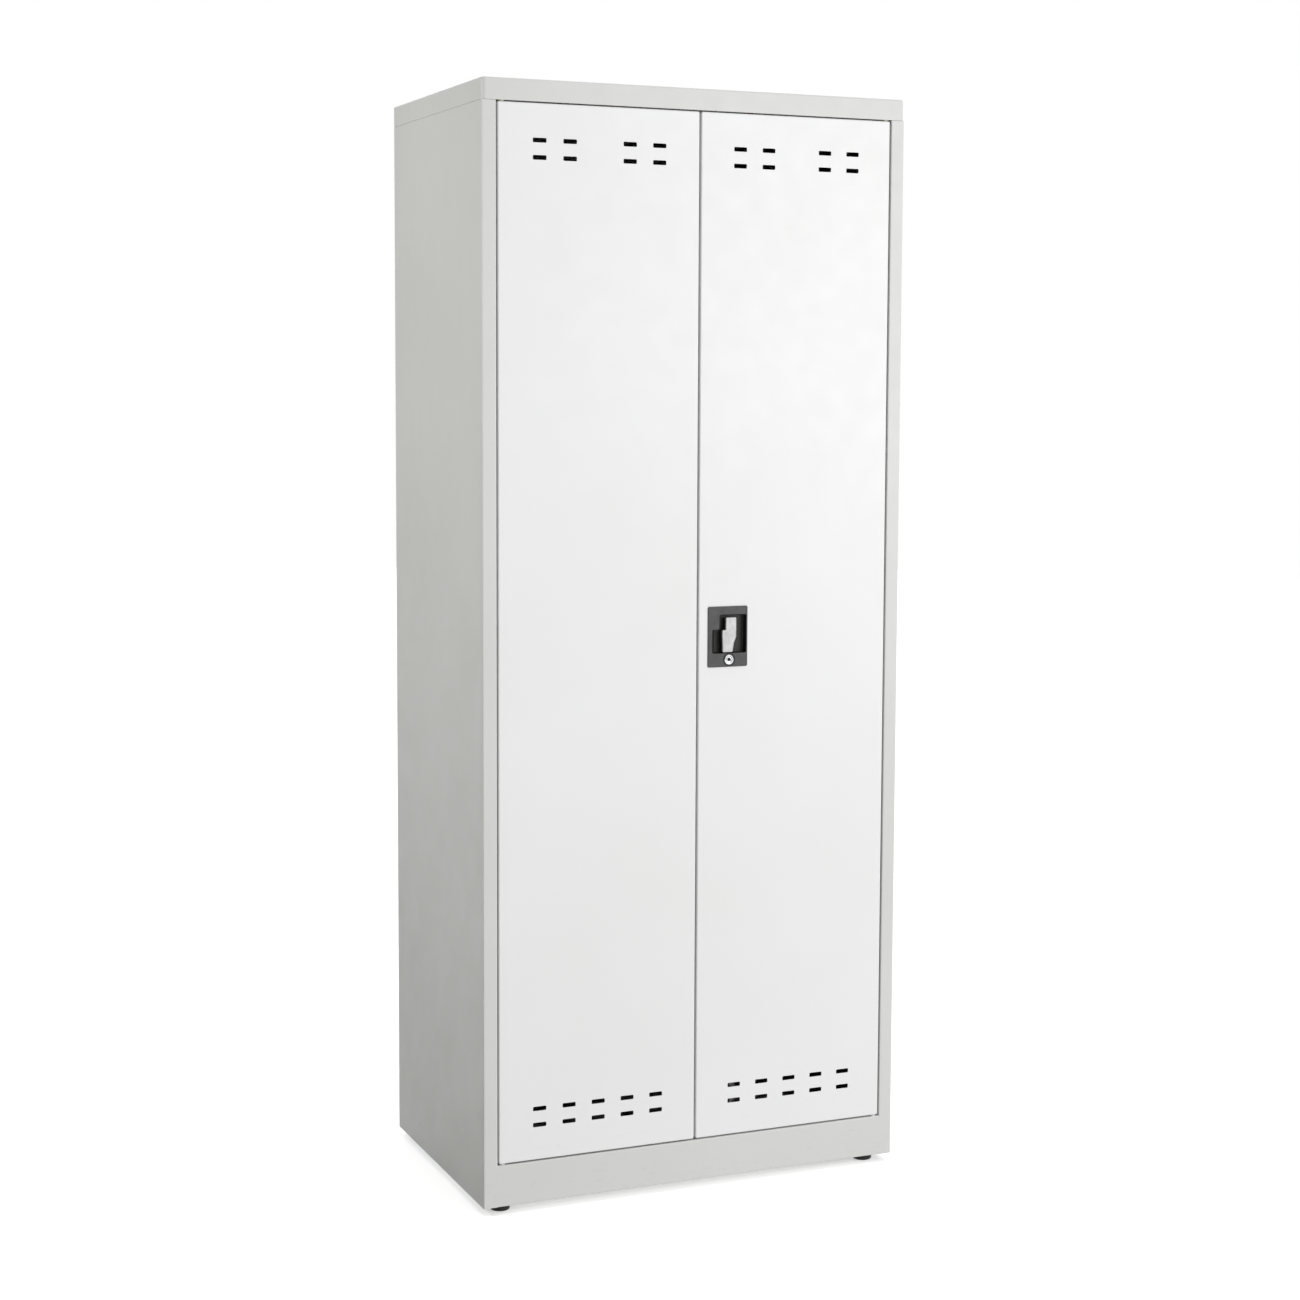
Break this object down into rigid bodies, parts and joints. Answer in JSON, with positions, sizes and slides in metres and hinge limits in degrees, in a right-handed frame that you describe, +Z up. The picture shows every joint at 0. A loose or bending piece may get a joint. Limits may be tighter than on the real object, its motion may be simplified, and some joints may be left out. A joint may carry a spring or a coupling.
{
  "type": "two-door school locker",
  "caption": "Tall sheet-steel locker with two vented inset doors, a recessed turning handle that drives locking rods, and shelves and a coat rail inside.",
  "frame": {"origin": "on the floor, under the middle of the outer box", "axes": "+Z up, +X to the right seen from the front, the doors face -Y"},
  "size_m": [0.8, 0.5, 1.95],
  "materials": {
    "grey_paint": "fine powder coat",
    "white_paint": "fine powder coat",
    "black_plastic": "matte",
    "satin_zinc": "satin",
    "chrome": "polished",
    "zinc_steel": "zinc plated",
    "nylon": "natural"
  },
  "bodies": {
    "carcass": {"top_cap": "grey_paint", "header_rail": "grey_paint", "plinth": "grey_paint", "floor_panel": "grey_paint", "back_panel": "grey_paint", "hat_shelf": "grey_paint", "lower_shelf": "grey_paint", "coat_rail": "zinc_steel", "left_side_panel": "grey_paint", "left_base_rail": "zinc_steel", "left_rail_bracket": "zinc_steel", "left_front_upright": "zinc_steel", "left_front_hat_clip": "zinc_steel", "left_front_shelf_clip": "zinc_steel", "left_rear_upright": "zinc_steel", "left_rear_hat_clip": "zinc_steel", "left_rear_shelf_clip": "zinc_steel", "left_upper_bush": "nylon", "left_lower_bush": "nylon", "right_side_panel": "grey_paint", "right_base_rail": "zinc_steel", "right_rail_bracket": "zinc_steel", "right_front_upright": "zinc_steel", "right_front_hat_clip": "zinc_steel", "right_front_shelf_clip": "zinc_steel", "right_rear_upright": "zinc_steel", "right_rear_hat_clip": "zinc_steel", "right_rear_shelf_clip": "zinc_steel", "right_upper_bush": "nylon", "right_lower_bush": "nylon"},
    "left_leaf": {"left_upper_pin": "zinc_steel", "left_lower_pin": "zinc_steel", "left_door": "white_paint", "left_door_stiffener": "white_paint", "upper_bolt_strap": "zinc_steel", "lower_bolt_strap": "zinc_steel"},
    "right_leaf": {"right_upper_pin": "zinc_steel", "right_lower_pin": "zinc_steel", "right_door": "white_paint", "right_door_stiffener": "white_paint", "upper_rod_strap": "zinc_steel", "lower_rod_strap": "zinc_steel", "lock_case": "zinc_steel", "handle_housing": "black_plastic", "lock_barrel": "chrome"},
    "handle": {"handle_lever": "satin_zinc", "drive_pinion": "zinc_steel", "lock_disc": "zinc_steel"},
    "upper_locking_rod": {"upper_rod": "zinc_steel"},
    "lower_locking_rod": {"lower_rod": "zinc_steel"},
    "key_core": {"lock_plug": "chrome", "lock_cam": "zinc_steel", "lock_nut": "zinc_steel"},
    "upper_slide_bolt": {"upper_bolt": "zinc_steel"},
    "lower_slide_bolt": {"lower_bolt": "zinc_steel"},
    "left_front_leg": {"left_front_foot": "black_plastic"},
    "left_rear_leg": {"left_rear_foot": "black_plastic"},
    "right_front_leg": {"right_front_foot": "black_plastic"},
    "right_rear_leg": {"right_rear_foot": "black_plastic"}
  },
  "joints": [
    {"name": "left_door_swing", "type": "hinge", "parent": "carcass", "child": "left_leaf", "pos_m": [-0.364, -0.2415, 0.09], "axis": [0, 0, -1], "range_deg": [0, 110]},
    {"name": "right_door_swing", "type": "hinge", "parent": "carcass", "child": "right_leaf", "pos_m": [0.364, -0.2415, 0.09], "axis": [0, 0, 1], "range_deg": [0, 110]},
    {"name": "handle_turn", "type": "hinge", "parent": "right_leaf", "child": "handle", "pos_m": [0.0605, -0.2465, 0.999], "axis": [0, 1, 0], "range_deg": [0, 75]},
    {"name": "upper_rod_travel", "type": "slide", "parent": "right_leaf", "child": "upper_locking_rod", "axis": [0, 0, 1], "range_m": [0, 0.01571]},
    {"name": "lower_rod_travel", "type": "slide", "parent": "right_leaf", "child": "lower_locking_rod", "axis": [0, 0, -1], "range_m": [0, 0.01571]},
    {"name": "key_turn", "type": "hinge", "parent": "right_leaf", "child": "key_core", "pos_m": [0.0605, -0.2465, 0.955], "axis": [0, -1, 0], "range_deg": [0, 90]},
    {"name": "upper_bolt_travel", "type": "slide", "parent": "left_leaf", "child": "upper_slide_bolt", "axis": [0, 0, 1], "range_m": [0, 0.0145]},
    {"name": "lower_bolt_travel", "type": "slide", "parent": "left_leaf", "child": "lower_slide_bolt", "axis": [0, 0, -1], "range_m": [0, 0.0145]},
    {"name": "left_front_leg_travel", "type": "slide", "parent": "carcass", "child": "left_front_leg", "axis": [0, 0, -1], "range_m": [0, 0.015]},
    {"name": "left_rear_leg_travel", "type": "slide", "parent": "carcass", "child": "left_rear_leg", "axis": [0, 0, -1], "range_m": [0, 0.015]},
    {"name": "right_front_leg_travel", "type": "slide", "parent": "carcass", "child": "right_front_leg", "axis": [0, 0, -1], "range_m": [0, 0.015]},
    {"name": "right_rear_leg_travel", "type": "slide", "parent": "carcass", "child": "right_rear_leg", "axis": [0, 0, -1], "range_m": [0, 0.015]}
  ],
  "couplings": [
    {"joint": "handle_turn", "follows": "upper_rod_travel", "rad_per_m": 83.333},
    {"joint": "lower_rod_travel", "follows": "upper_rod_travel", "ratio": 1}
  ]
}
